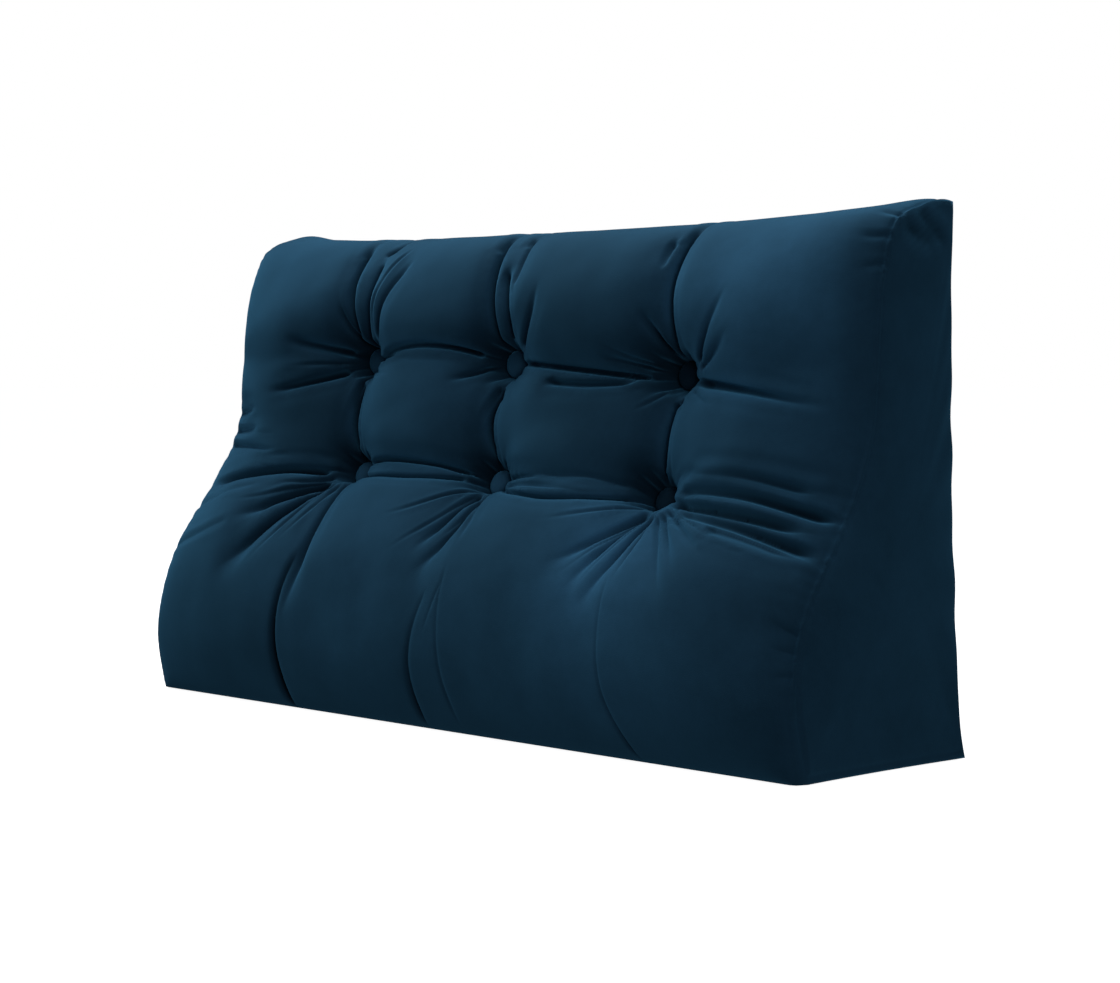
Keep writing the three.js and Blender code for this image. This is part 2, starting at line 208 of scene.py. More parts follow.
# Finer folds, in the same columns, pressed into the settled cloth
FINE_FOLDS = (
    # Down to the base
    (-198, 440, -211, 595, -12, 5.0, 9, 0.2, 0.9),
    (14, 462, -4, 592, -13, 4.5, 5, 0.1, 0.8),
    (33, 440, 48, 584, -5, 3.5, 2.2, 0.2, 0.6),
    (32, 458, 14, 502, 0, 3.0, 2.5, 0.3, 0.2),
    (246, 436, 280, 594, -14, 3.0, 2.2, 0.1, 0.9),
    # Over the top edge
    (-250, 96, -260, 22, 0, 8.0, 2.4, 0.5, 0.9),
    (-208, 92, -202, 20, 0, 8.0, 2.4, 0.5, 0.9),
    (-38, 96, -48, 20, 0, 8.0, 2.4, 0.5, 0.9),
    (-6, 88, -12, 24, 0, 7.0, 1.8, 0.5, 0.9),
    (220, 100, 218, 20, 0, 8.0, 2.8, 0.5, 0.9),
    # Round the upper left button
    (-204, 160, -172, 84, 4, 3.0, 1.8, 0.3, 0.7),
    (-242, 207, -330, 213, 0, 3.0, 2.0, 1.0, 0.0),
    (-206, 214, -150, 222, -3, 3.0, 2.0, 1.0, 0.0),
    # Round the upper right one
    (206, 208, 140, 184, 3, 3.0, 2.0, 1.0, 0.0),
    (212, 236, 186, 262, 3, 3.0, 2.0, 1.0, 0.0),
    (250, 236, 302, 264, 4, 3.0, 1.8, 1.0, 0.0),
    # Round the lower left one
    (-230, 344, -352, 396, 12, 3.0, 2.5, 1.0, 0.0),
    (-217, 354, -282, 460, 14, 3.0, 2.5, 1.0, 0.0),
    (-212, 352, -244, 440, 14, 3.0, 2.5, 1.0, 0.0),
    (-232, 330, -360, 336, 10, 3.0, 2.0, 1.0, 0.0),
    (-310, 370, -442, 394, 3, 6.0, 2.6, 0.2, 0.8),
    (-325, 416, -442, 440, 4, 6.0, 2.6, 0.2, 0.8),
    (-320, 300, -444, 280, 3, 5.0, 1.8, 0.1, 0.8),
    # Round the lower middle one
    (-10, 350, -100, 404, 10, 3.0, 2.5, 1.0, 0.0),
    (-2, 352, -70, 440, 14, 3.0, 2.0, 1.0, 0.0),
    (5, 354, -12, 432, 14, 3.0, 2.0, 1.0, 0.0),
    # Round the lower right one
    (222, 358, 124, 396, 8, 3.0, 2.5, 1.0, 0.0),
    (238, 363, 168, 450, 10, 3.0, 2.5, 1.0, 0.0),
    (244, 365, 196, 462, 8, 3.0, 2.0, 1.0, 0.0),
    (252, 368, 248, 456, 6, 4.0, 4.0, 1.0, 0.0),
    (256, 358, 380, 412, -4, 3.0, 2.0, 1.0, 0.0),
)
FOLD_WIDTH = 5  # column of the width in both tables
FOLD_PIECES = 14
FOLD_FADE = 0.12  # of a fold's length, at both ends
FOLD_RUN_OUT = 0.35  # more of it at an end without depth
FOLD_JOIN = 3
LIP_SINK = 3.0
LIP_RISE = 0.6  # of a fold's depth
LIP_PLACE = 2.2  # from the fold, in its widths
LIPS_END = (470, 410)  # arcs between which they run out towards the base
FOLD_ROUNDING = 0.35  # of a fold's width
FOLD_RUN_IN = 22.0  # over which folds rise out of a button's seat

# Creases along the bottom of the folds
CREASE_SHARE = 0.45  # of a fold's depth
CREASE_MOST = 4.5
CREASE_WIDTH = 0.6  # of a fold's width
FINE_WIDTH = 0.65  # of a finer fold's width
CREASE_LIP = 0.6
CREASE_LIP_PLACE = 2.0  # from the crease, in its widths
CREASE_LIP_SINK = 1.0
CREASE_POWER = 1.4
CREASE_RUN_IN = (2.0, 12.0)  # from a seat, between which creases come in

# Puckers at the end seams: arc of the middle, half length, lift
PUCKERS = (
    (70, 60, 0.5),
    (400, 90, 0.9),
    (230, 120, 0.1),
)
PUCKER_PITCH = 15.0
PUCKER_REACH = 24.0
PUCKER_SLOW = (2.2, 31.0)  # unevenness of the pitch: size, and arc for one radian
PUCKER_QUICK = (1.7, 13.0)
PUCKER_CROWN = 10.0  # at which they are full
PUCKER_SEED = 5

# Uneven filling: wavelength, lift
LUMPS = (
    (170, 2.0),
    (85, 0.9),
    (38, 0.25),
)
LUMP_WAVES = 7  # of each wavelength
LUMP_EVENING = 3  # by which each of them is divided
LUMP_SPREAD = (0.8, 1.3)  # of a wavelength
LUMP_SEED = 11
FILLED_CROWN = 20.0  # at which folds and lumps are full

# Painted light and painted shade in patches on the ground colour of the face: x, arc, reach, share
PAINTED_PATCHES = (
    (340, 130, 110, 1.2),
    (225, 430, 70, 1.6),
    (280, 505, 110, 0.6),
    (-380, 70, 90, 0.3),
    (-300, 275, 70, -0.5),
    (112, 262, 75, -0.4),
    (105, 120, 80, -0.25),
    (-110, 480, 90, 0.35),
    (90, 500, 90, 0.25),
)
# Painted shade in each pit round its button, darkening the ground colour
PIT_PAINTED_SHADE = (-9, -9, 28, -0.88)  # in each pit, from its button: x, arc, reach, share
PATCH_PAINT_FADE = 50.0  # towards the seams
# Painted shade in the creases and painted highlight on their lips, scaling the ground colour
CREASE_SHADE = 0.2  # for each millimetre a crease is deep
RIDGE_LIGHT = 0.3  # for each millimetre a lip is high
CREASE_PAINT_FADE = (5, 15)  # from the end seams, between which both come in
LEAST_PAINTED_LIGHT = 0.1

# Grid on which the cloth settles: count, reach and boost of the closer spacing round the buttons
COLUMNS = (300, 60.0, 1.3)
ROWS = (220, 60.0, 1.0)
GRADE_STEPS = 4000

# Points of the finished face: rows along the folds, closer ones round the buttons, open ones between
FOLD_ROWS = (0, 0.16, 0.34, 0.56, 0.86, 1.26, 1.7)  # from a fold, in its widths
FOLD_SPACING = 3.0
FOLD_ROOM = 0.6
TUFT_SPACING = 2.3
TUFT_REACH = 42.0
OPEN_SPACING = 4.3
ROOM_SHARE = 0.62  # of a spacing, that points keep from their neighbours
ROOM_CELL = 3.0
STAGGER = math.sqrt(0.75)  # between rows, in spacings
EDGE_STATIONS = 200
EDGE_ARCS = 150
EDGE_ROOM = 1.2
ON_EDGE = 0.1  # within which a point belongs to a seam
JOIN_TOLERANCE = 1e-6
BASE_STEPS = 8
BACK_STEPS = 56
END_RINGS = (0.985, 0.97, 0.955, 0.94, *np.linspace(0.92, 0.6, 17), *np.linspace(0.54, 0.06, 9))
END_CENTRE = (90.0, 185.0)
END_FADE = 3

# Turned edge along the end seams of the face: place from the end, lift, half width, rows of points
EDGE_PLACE = 2.6
EDGE_LIFT = 1.4
EDGE_HALF = 1.0
EDGE_GROOVE = 5.4  # place of the groove beside it
EDGE_GROOVE_DEPTH = 1.0
EDGE_GROOVE_HALF = 1.5
EDGE_ROWS = (1.3, 2.6, 3.9, 5.4, 7.2)
EDGE_SPACING = 3.0

# Slack folds on the right end panel: depth and height of the start and the end
END_FOLDS = (
    (62, 495, 10, 464),
    (80, 481, 26, 463),
)
END_FOLD_WIDTH = 6.0
END_FOLD_DEPTH = 3.0
END_FOLD_FADE = 0.35  # of a fold's length, at both ends
END_FOLD_LIP = 0.5  # of a fold's depth
END_FOLD_LIP_PLACE = 1.9  # from the fold, in its widths

# Seam of the base, turned up on the end panels
GROOVE_HEIGHT = 8.0
GROOVE_DEPTH = 1.5
GROOVE_HALF = 2.2

# Camera, as solved from the photograph: lens for the 36 mm sensor width
CAMERA_PLACE = (1.693, -1.771, 0.353)  # metres, y from the back plane
CAMERA_AZIMUTH = math.radians(44.58)
CAMERA_DOWN = math.radians(2.98)
CAMERA_LENS = 76.2
CAMERA_SENSOR = 36.0

# Lights: name, place in metres, power in watts
LIGHTS = (
    ("overhead", (0.0, -0.36, 2.82), 12),
    ("from_behind_left", (-1.13, 0.65, 2.5), 24),
    ("from_front_left", (-1.84, -1.06, 1.74), 11),
    ("low_on_the_right", (2.22, -1.28, 0.7), 10),
)
LIGHT_AIM = (0, 0, 0.25)
LIGHT_SIZE = 1.2
LIGHT_COLOUR = (0.98, 0.99, 1)
SKY_COLOUR = (0.85, 0.93, 1, 1)
SKY_STRENGTH = 0.07
WHITE = (1, 1, 1, 1)
FLOOR_COLOUR = (0.82, 0.82, 0.82, 1)
FLOOR_GLOW = 0.95
FLOOR_RADIUS = 40  # metres
FLOOR_SIDES = 64


def smoothstep(low, high, value):
    share = np.clip((value - low) / (high - low), 0, 1)
    return share * share * (3 - 2 * share)


# The profile as a fine trace with its arc length
def trace_profile():
    ends = 2 * PROFILE[0] - PROFILE[1], 2 * PROFILE[-1] - PROFILE[-2]
    knots = np.vstack([ends[0], PROFILE, ends[1]])
    places = np.linspace(0, len(PROFILE) - 1, TRACE_STEPS + 1)
    span = np.minimum(places.astype(int), len(PROFILE) - 2)
    w = (places - span)[:, None]
    before, start, end, after = (knots[span + k] for k in range(4))
    leave, arrive = (end - before) / 2, (after - start) / 2
    points = (2 * start - 2 * end + leave + arrive) * w**3
    points += (3 * end - 3 * start - 2 * leave - arrive) * w**2 + leave * w + start
    runs = np.hypot(np.diff(points[:, 0]), np.diff(points[:, 1]))
    return points, np.concatenate([[0], np.cumsum(runs)])


TRACE, TRACE_ARCS = trace_profile()
FACE_ARC = TRACE_ARCS[-1]
TOP_HEIGHT = PROFILE[0, 1]
FRONT_DEPTH = PROFILE[-1, 0]


def profile_at(arc):
    return [np.interp(arc, TRACE_ARCS, TRACE[:, k]) for k in range(3)]


def push_at(arc):
    above = profile_at(arc - PUSH_HALF_CHORD)
    below = profile_at(arc + PUSH_HALF_CHORD)
    forward, rise = below[0] - above[0], below[1] - above[1]
    chord = np.hypot(forward, rise)
    return -rise / chord, forward / chord


def arc_at_height(height):
    falling = TRACE[::-1, 1]
    crest = int(np.argmax(falling))
    return np.interp(height, falling[: crest + 1], TRACE_ARCS[::-1][: crest + 1])


def make_tuft(node, x, height, tilt, sink, lean, reach):
    arc = float(arc_at_height(height))
    depth, level, _ = profile_at(arc)
    axis = np.array([math.cos(math.radians(tilt)), math.sin(math.radians(tilt))])
    seat = np.array([depth, level]) - sink * axis
    return {"node": node, "x": x, "arc": arc, "axis": axis, "seat": seat, "lean": lean, "reach": reach}


TUFTS = [make_tuft(*row) for row in BUTTONS]
UPPER, LOWER = TUFTS[:3], TUFTS[3:]


def away_from(tuft, x, arc):
    return np.hypot(x - tuft["x"], arc - tuft["arc"])


# Broad valleys as straight lines on the flat face
def valley_lines():
    lines = []
    for top, under in zip(UPPER, LOWER):
        lines.append((top["x"], top["arc"], top["x"], 0, *OVER_THE_TOP))
        lines.append((top["x"], top["arc"], under["x"], under["arc"], *BETWEEN_ROWS))
        lines.append((under["x"], under["arc"], under["x"], FACE_ARC, *TO_THE_BASE))
    for row in (UPPER, LOWER):
        for one, other in zip(row, row[1:]):
            lines.append((one["x"], one["arc"], other["x"], other["arc"], *ALONG_A_ROW))
        for last, side in ((row[0], -1), (row[-1], 1)):
            lines.append((last["x"], last["arc"], side * LENGTH / 2, last["arc"], *TO_AN_END))
    return lines


VALLEYS = valley_lines()


def near_line(x, arc, x0, arc0, x1, arc1):
    dx, da = x1 - x0, arc1 - arc0
    held = np.clip(((x - x0) * dx + (arc - arc0) * da) / (dx * dx + da * da), 0, 1)
    return held, np.hypot(x - x0 - held * dx, arc - arc0 - held * da)


# One fold's gently bowed line
def fold_line(x0, arc0, x1, arc1, bow):
    run = math.hypot(x1 - x0, arc1 - arc0)
    side = (arc0 - arc1) / run, (x1 - x0) / run
    shares = np.linspace(0, 1, FOLD_PIECES + 1)
    aside = bow * 4 * shares * (1 - shares)
    return x0 + (x1 - x0) * shares - side[0] * aside, arc0 + (arc1 - arc0) * shares - side[1] * aside


# How far points lie off a fold, and the fold's depth there
def fold_reach(x, arc, x0, arc0, x1, arc1, bow, width, depth, start, end):
    line_x, line_arc = fold_line(x0, arc0, x1, arc1, bow)
    nearest = np.full(x.shape, np.inf)
    along = np.zeros(x.shape)
    for k in range(FOLD_PIECES):
        held, off = near_line(x, arc, line_x[k], line_arc[k], line_x[k + 1], line_arc[k + 1])
        closer = off < nearest
        nearest = np.where(closer, off, nearest)
        along = np.where(closer, (k + held) / FOLD_PIECES, along)
    run_out = FOLD_FADE + FOLD_RUN_OUT * (1 - end)
    fade = smoothstep(0, FOLD_FADE, along) * smoothstep(0, run_out, 1 - along)
    return nearest, depth * (start + (end - start) * along) * fade


# One fold's valley and lips over the whole face
def fold_section(x, arc, *fold):
    nearest, here = fold_reach(x, arc, *fold)
    width = fold[FOLD_WIDTH]
    rounding = FOLD_ROUNDING * width
    valley = np.exp((rounding - np.hypot(nearest, rounding)) / width)
    lips = LIP_RISE * np.exp(-((nearest / width - LIP_PLACE) ** 2)) * smoothstep(*LIPS_END, arc)
    return here * valley, here * lips


# The sharp bottoms of the folds and the finer folds, pressed into the settled cloth
def creases(x, arc):
    depth = np.zeros(x.shape)
    lips = np.zeros(x.shape)
    for fold in FOLDS + FINE_FOLDS:
        nearest, here = fold_reach(x, arc, *fold)
        fine = fold in FINE_FOLDS
        width = (FINE_WIDTH if fine else CREASE_WIDTH) * fold[FOLD_WIDTH]
        here = here if fine else np.minimum(CREASE_SHARE * here, CREASE_MOST)
        depth = np.maximum(depth, here * np.exp(-((nearest / width) ** CREASE_POWER)))
        lips = np.maximum(lips, here * CREASE_LIP * np.exp(-((nearest / width - CREASE_LIP_PLACE) ** 2)))
    lips *= smoothstep(*LIPS_END, arc)
    lift = lips * np.exp(-depth / CREASE_LIP_SINK) - depth
    from_end = LENGTH / 2 - np.abs(x)
    lift += EDGE_LIFT * np.exp(-(((from_end - EDGE_PLACE) / EDGE_HALF) ** 2))
    lift -= EDGE_GROOVE_DEPTH * np.exp(-(((from_end - EDGE_GROOVE) / EDGE_GROOVE_HALF) ** 2))
    for tuft in TUFTS:
        away = away_from(tuft, x, arc)
        lift *= smoothstep(SEAT_RADIUS + CREASE_RUN_IN[0], SEAT_RADIUS + CREASE_RUN_IN[1], away)
    return lift


# All the folds together, without piling up where they meet
def all_folds(x, arc):
    depth = np.zeros(x.shape)
    lips = np.zeros(x.shape)
    for fold in FOLDS:
        valley, lip = fold_section(x, arc, *fold)
        depth += valley**FOLD_JOIN
        lips = np.maximum(lips, lip)
    depth = depth ** (1 / FOLD_JOIN)
    lift = lips * np.exp(-depth / LIP_SINK) - depth
    for tuft in TUFTS:
        lift *= smoothstep(SEAT_RADIUS, SEAT_RADIUS + FOLD_RUN_IN, away_from(tuft, x, arc))
    return lift


# Smooth unevenness of the filling, from a few fixed waves
def lumps(x, arc):
    draw = np.random.default_rng(LUMP_SEED)
    lift = np.zeros(x.shape)
    for wavelength, height in LUMPS:
        for _ in range(LUMP_WAVES):
            turn, phase = draw.uniform(0, 2 * math.pi, 2)
            reach = 2 * math.pi / (wavelength * draw.uniform(*LUMP_SPREAD))
            across = x * math.cos(turn) + arc * math.sin(turn)
            lift += height / LUMP_EVENING * np.sin(reach * across + phase)
    return lift


def puckers(x, arc, from_seam):
    draw = np.random.default_rng(PUCKER_SEED)
    slow_phase, quick_phase = draw.uniform(0, 2 * math.pi, 2)
    slow, slow_arc = PUCKER_SLOW
    quick, quick_arc = PUCKER_QUICK
    turn = 2 * math.pi * arc / PUCKER_PITCH + slow * np.sin(arc / slow_arc + slow_phase + np.sign(x))
    turn += quick * np.sin(arc / quick_arc + quick_phase)
    height = np.zeros(arc.shape)
    for middle, half, lift in PUCKERS:
        height += lift * np.exp(-(((arc - middle) / half) ** 2))
    return height * np.cos(turn) * np.exp(-from_seam / PUCKER_REACH)


def end_roll(from_end):
    return np.sin(math.pi / 2 * np.minimum(1, from_end / END_ROLL)) ** END_ROLL_POWER


def swell(x, arc, crown):
    from_end = LENGTH / 2 - np.abs(x)
    roll = end_roll(from_end)
    out = crown * roll
    for *line, depth, width in VALLEYS:
        _, off = near_line(x, arc, *line)
        out = out * (1 - depth * np.exp((VALLEY_ROUNDING - np.hypot(off, VALLEY_ROUNDING)) / width))
    for tuft in TUFTS:
        away = away_from(tuft, x - tuft["lean"], arc)
        out = out * (1 - np.exp(-np.maximum(0, away - SEAT_RADIUS / 2) / tuft["reach"]))
    held = np.sqrt(roll) * np.minimum(1, crown / FILLED_CROWN)
    pucker = puckers(x, arc, from_end) * np.minimum(1, crown / PUCKER_CROWN)
    return out + held * (all_folds(x, arc) + lumps(x, arc)) + pucker


def sag(x, height):
    along = 1 - np.abs(2 * x / LENGTH) ** SAG_POWER
    return TOP_SAG * along * smoothstep(SAG_FROM_HEIGHT, TOP_HEIGHT, height)


# How far the top back corners stand up
def tip(x, depth):
    near_end = smoothstep(LENGTH / 2 - TIP_FROM_END, LENGTH / 2, np.abs(x))
    return TIP_RISE * near_end * smoothstep(*TIP_DEPTHS, depth)


def place(x, depth, height, draw_in):
    return np.stack([x * (1 - 2 * draw_in / LENGTH), -depth, height], axis=-1)


# How far the ends are drawn in towards their top corners
def top_draw_in(height):
    return TOP_DRAW_IN * smoothstep(TOP_DRAW_FROM, TOP_HEIGHT, height)


# How far the front corners are rounded back
def corner(x, height):
    past = np.clip(1 - (LENGTH / 2 - np.abs(x)) / CORNER_RADIUS, 0, 1)
    return CORNER_RADIUS * (1 - np.sqrt(1 - past * past)) * (1 - smoothstep(0, CORNER_HEIGHT, height))


def face_points(x, arc, tufted=True):
    depth, height, crown = profile_at(arc)
    depth = depth - corner(x, height)
    forward, rise = push_at(arc)
    out = swell(x, arc, crown) if tufted else crown * end_roll(LENGTH / 2 - np.abs(x))
    height_out = height + out * rise - sag(x, height) + tip(x, depth)
    depth_out = depth + out * forward
    for tuft in TUFTS if tufted else ():
        flat = 1 - smoothstep(SEAT_RADIUS, SEAT_RADIUS + SEAT_BLEND, away_from(tuft, x, arc))
        up = tuft["arc"] - arc
        depth_out += flat * (tuft["seat"][0] - up * tuft["axis"][1] - depth_out)
        height_out += flat * (tuft["seat"][1] + up * tuft["axis"][0] - height_out)
    draw_in = END_DRAW_IN * np.sin(math.pi * arc / FACE_ARC) + top_draw_in(height)
    return place(x, depth_out, height_out, draw_in)


def soft_edge(from_seam):
    return np.maximum(0, 1 - from_seam / PANEL_ROLL) ** 2


def base_points(x, depth):
    depth = depth - corner(x, 0) * (depth - SEAM_SETBACK) / (FRONT_DEPTH - SEAM_SETBACK)
    nearest = np.minimum(np.minimum(FRONT_DEPTH - depth, depth - SEAM_SETBACK), LENGTH / 2 - np.abs(x))
    flare = (FOOT_FLARE + EAR_FLARE) * (1 - depth / FRONT_DEPTH) ** 2
    return place(x, depth, SEAM_LIFT * soft_edge(nearest), -flare)


def back_points(x, height):
    nearest = np.minimum(np.minimum(height - SEAM_LIFT, TOP_HEIGHT - height), LENGTH / 2 - np.abs(x))
    flare = FOOT_FLARE * np.maximum(0, 1 - height / FOOT_HEIGHT) ** 2
    flare += EAR_FLARE * np.maximum(0, 1 - height / EAR_HEIGHT) ** 2
    draw_in = END_DRAW_IN * np.sin(math.pi * height / TOP_HEIGHT) + top_draw_in(height) - flare
    waves = sum(np.sin(2 * math.pi * height / wave + np.sign(x)) for wave in SEAM_WAVES)
    draw_in = draw_in + SEAM_WOBBLE * waves * np.sin(math.pi * height / TOP_HEIGHT)
    rise = tip(x, SEAM_SETBACK) * smoothstep(TOP_HEIGHT - TIP_HEIGHT, TOP_HEIGHT, height)
    return place(x, SEAM_SETBACK * soft_edge(nearest), height - sag(x, height) + rise, draw_in)


def end_swell(depth, height):
    reach = profile_at(arc_at_height(height))[0]
    room = np.clip(depth, 0, None) * np.clip(reach - depth, 0, None)
    up = np.clip(height / TOP_HEIGHT, 0, 1)
    return END_PUFF * (room / END_ROOM * 4 * up * (1 - up)) ** END_PUFF_POWER


# Painted shade in creases and painted highlight on their lips, as a factor on the ground colour
def painted_crease_shade_and_lip_light(lift):
    return 1 + np.where(lift < 0, CREASE_SHADE, RIDGE_LIGHT) * lift


# Painted light and shade on the face: the patches, shade in the pits, and shade and highlight along the
# creases
def painted_light_on_face(x, arc):
    light = np.zeros(x.shape)
    for middle_x, middle_arc, reach, share in PAINTED_PATCHES:
        light += share * np.exp(-((x - middle_x) ** 2 + (arc - middle_arc) ** 2) / reach**2)
    # Painted shade in each pit
    for tuft in TUFTS:
        aside, below, reach, share = PIT_PAINTED_SHADE
        pit = np.exp(-((away_from(tuft, x - aside, arc - below) / reach) ** 2))
        light += pit * (share - light)
    from_seam = np.minimum(np.minimum(LENGTH / 2 - np.abs(x), arc), FACE_ARC - arc)
    # Painted shade along the creases and painted highlight on their lips
    lift = creases(x, arc)
    pile_noise_and_crease_paint = painted_crease_shade_and_lip_light(lift * smoothstep(*CREASE_PAINT_FADE, LENGTH / 2 - np.abs(x)))
    return np.maximum(LEAST_PAINTED_LIGHT, (1 + light * smoothstep(0, PATCH_PAINT_FADE, from_seam)) * pile_noise_and_crease_paint)


# Positions from one end to the other, closer together round the given centres
def graded(settings, low, high, centres):
    count, reach, boost = settings
    places = np.linspace(low, high, GRADE_STEPS + 1)
    density = 1 + boost * sum(np.exp(-(((places - c) / reach) ** 2)) for c in centres)
    sums = np.concatenate([[0], np.cumsum((density[1:] + density[:-1]) / 2)])
    return np.interp(np.linspace(0, sums[-1], count + 1), sums, places)


# Settling of the cloth: the panel is cut larger than the plain form, and the filling presses it out
CUT_ALLOWANCE = 0.01
MOST_SPARE = 1.015
GATHER = (0.01, 60.0)  # more cloth round a button, and its reach
SETTLE_STEPS = 300
SETTLE_PRESSURE = 0.06  # millimetres a step
HOLD_LOOSE = 0.006  # pull back to the modelled form in the cells
HOLD_FIRM = 0.06  # and in the folds
FIRM_LIFT = 6.0
SETTLE_COMPRESS = 0.06
SETTLE_SHEAR = 0.35
SETTLE_BEND = 0.12
SETTLE_CAP = 22.0
SETTLE_SMOOTH = 2
BUTTON_CLEAR = 0.8
BUTTON_NEAR = 60.0  # within which cloth can touch a button


# Moves two sets of points towards their rest distance
def pull(one, other, free_one, free_other, rest, stretch, compress):
    gap = other - one
    length = np.sqrt((gap * gap).sum(-1)) + TINY
    over = (length - rest) / length
    share = np.where(over > 0, stretch, compress) * over / np.maximum(free_one + free_other, 1)
    step = gap * share[..., None]
    one += step * free_one[..., None]
    other -= step * free_other[..., None]


# Directions out of a grid of points
def outward(points):
    out = np.cross(np.gradient(points, axis=1), np.gradient(points, axis=0))
    return out / (np.sqrt((out * out).sum(-1, keepdims=True)) + TINY)


# Distances between neighbours in a grid, along its length and down it
def edge_lengths(points):
    return [np.linalg.norm(np.diff(points, axis=k), axis=-1) for k in (0, 1)]


# Pushes cloth off the buttons' rims
def clear_buttons(p, free, near):
    for tuft, spots in zip(TUFTS, near):
        forward = np.array([0, -tuft["axis"][0], tuft["axis"][1]])
        foot = np.array([tuft["x"], -tuft["seat"][0], tuft["seat"][1]])
        arm = p[spots] - foot
        ahead = arm @ forward
        aside = arm - ahead[:, None] * forward
        away = np.linalg.norm(aside, axis=-1) + TINY
        inside = (ahead < SEAT_GAP + BUTTON_HEIGHT + BUTTON_CLEAR) & (away < BUTTON_RADIUS + BUTTON_CLEAR)
        push = np.where(inside, BUTTON_RADIUS + BUTTON_CLEAR - away, 0) * free[spots]
        p[spots] += aside * (push / away)[:, None]


def settle(face, stations, arcs):
    x, arc = np.meshgrid(stations, arcs, indexing="ij")
    free = np.ones(x.shape)
    free[[0, -1]] = 0
    free[:, [0, -1]] = 0
    extra = np.full(x.shape, CUT_ALLOWANCE)
    near = []
    for tuft in TUFTS:
        away = away_from(tuft, x, arc)
        free[away < SEAT_RADIUS] = 0
        extra += GATHER[0] * np.exp(-((away / GATHER[1]) ** 2))
        near.append(np.nonzero(away < BUTTON_NEAR))
    plain_x, plain_arc = edge_lengths(face_points(x, arc, tufted=False))
    form_x, form_arc = edge_lengths(face)
    extra_x = (extra[1:] + extra[:-1]) / 2
    extra_arc = (extra[:, 1:] + extra[:, :-1]) / 2
    cut_x = form_x * np.clip(plain_x / form_x * (1 + extra_x), 1, MOST_SPARE)
    cut_arc = form_arc * np.clip(plain_arc / form_arc * (1 + extra_arc), 1, MOST_SPARE)
    cut_slant = np.hypot((cut_x[:, 1:] + cut_x[:, :-1]) / 2, (cut_arc[1:] + cut_arc[:-1]) / 2)
    cut_two_x = cut_x[1:] + cut_x[:-1]
    cut_two_arc = cut_arc[:, 1:] + cut_arc[:, :-1]
    hold = HOLD_LOOSE + HOLD_FIRM * np.minimum(1, np.abs(all_folds(x, arc)) / FIRM_LIFT)[..., None]
    p = face.copy()
    count, rows = x.shape
    for _ in range(SETTLE_STEPS):
        p += (SETTLE_PRESSURE * outward(p) + hold * (face - p)) * free[..., None]
        for k in (0, 1):
            a, b = slice(k, count - 1, 2), slice(k + 1, count, 2)
            pull(p[a], p[b], free[a], free[b], cut_x[a], 1, SETTLE_COMPRESS)
        for k in (0, 1):
            a, b = slice(k, rows - 1, 2), slice(k + 1, rows, 2)
            pull(p[:, a], p[:, b], free[:, a], free[:, b], cut_arc[:, a], 1, SETTLE_COMPRESS)
        for k in (0, 1):
            a, b = slice(k, count - 1, 2), slice(k + 1, count, 2)
            pull(p[a, :-1], p[b, 1:], free[a, :-1], free[b, 1:], cut_slant[a], SETTLE_SHEAR, SETTLE_SHEAR)
            pull(p[a, 1:], p[b, :-1], free[a, 1:], free[b, :-1], cut_slant[a], SETTLE_SHEAR, SETTLE_SHEAR)
        for k in range(4):
            a, b = slice(k, count - 2, 4), slice(k + 2, count, 4)
            pull(p[a], p[b], free[a], free[b], cut_two_x[a], 0, SETTLE_BEND)
            a, b = slice(k, rows - 2, 4), slice(k + 2, rows, 4)
            pull(p[:, a], p[:, b], free[:, a], free[:, b], cut_two_arc[:, a], 0, SETTLE_BEND)
        clear_buttons(p, free, near)
    moved = p - face
    for _ in range(SETTLE_SMOOTH):
        moved[1:-1] = (moved[:-2] + 2 * moved[1:-1] + moved[2:]) / 4
        moved[:, 1:-1] = (moved[:, :-2] + 2 * moved[:, 1:-1] + moved[:, 2:]) / 4
    far = np.sqrt((moved * moved).sum(-1, keepdims=True)) + TINY
    settled = face + moved * np.minimum(1, SETTLE_CAP / far)
    clear_buttons(settled, free, near)
    return settled


# Points on the flat face that keep their distance from one another
class Spread:
    def __init__(self):
        self.cells = {}
        self.points = []

    def add(self, x, arc, room):
        column, row = int(x // ROOM_CELL), int(arc // ROOM_CELL)
        for i in (column - 1, column, column + 1):
            for j in (row - 1, row, row + 1):
                for other_x, other_arc in self.cells.get((i, j), ()):
                    if (other_x - x) ** 2 + (other_arc - arc) ** 2 < room * room:
                        return
        self.cells.setdefault((column, row), []).append((x, arc))
        self.points.append((x, arc))

    def add_inside(self, places, room):
        for x, arc in places:
            if abs(x) < LENGTH / 2 - EDGE_ROOM and EDGE_ROOM < arc < FACE_ARC - EDGE_ROOM:
                self.add(x, arc, room)


# A row of points beside a fold
def fold_row(fold, aside):
    line_x, line_arc = fold_line(*fold[:FOLD_WIDTH])
    runs = np.concatenate([[0], np.cumsum(np.hypot(np.diff(line_x), np.diff(line_arc)))])
    places = np.linspace(0, runs[-1], max(2, round(runs[-1] / FOLD_SPACING)) + 1)
    x, arc = np.interp(places, runs, line_x), np.interp(places, runs, line_arc)
    dx, da = np.gradient(x), np.gradient(arc)
    length = np.hypot(dx, da)
    return np.stack([x - aside * da / length, arc + aside * dx / length], axis=-1).tolist()


# Staggered points over a patch of the face
def staggered(x0, x1, arc0, arc1, spacing):
    places = []
    for k, arc in enumerate(np.arange(arc0, arc1, spacing * STAGGER)):
        places += [(x, arc) for x in np.arange(x0 + spacing / 2 * (k % 2), x1, spacing)]
    return places


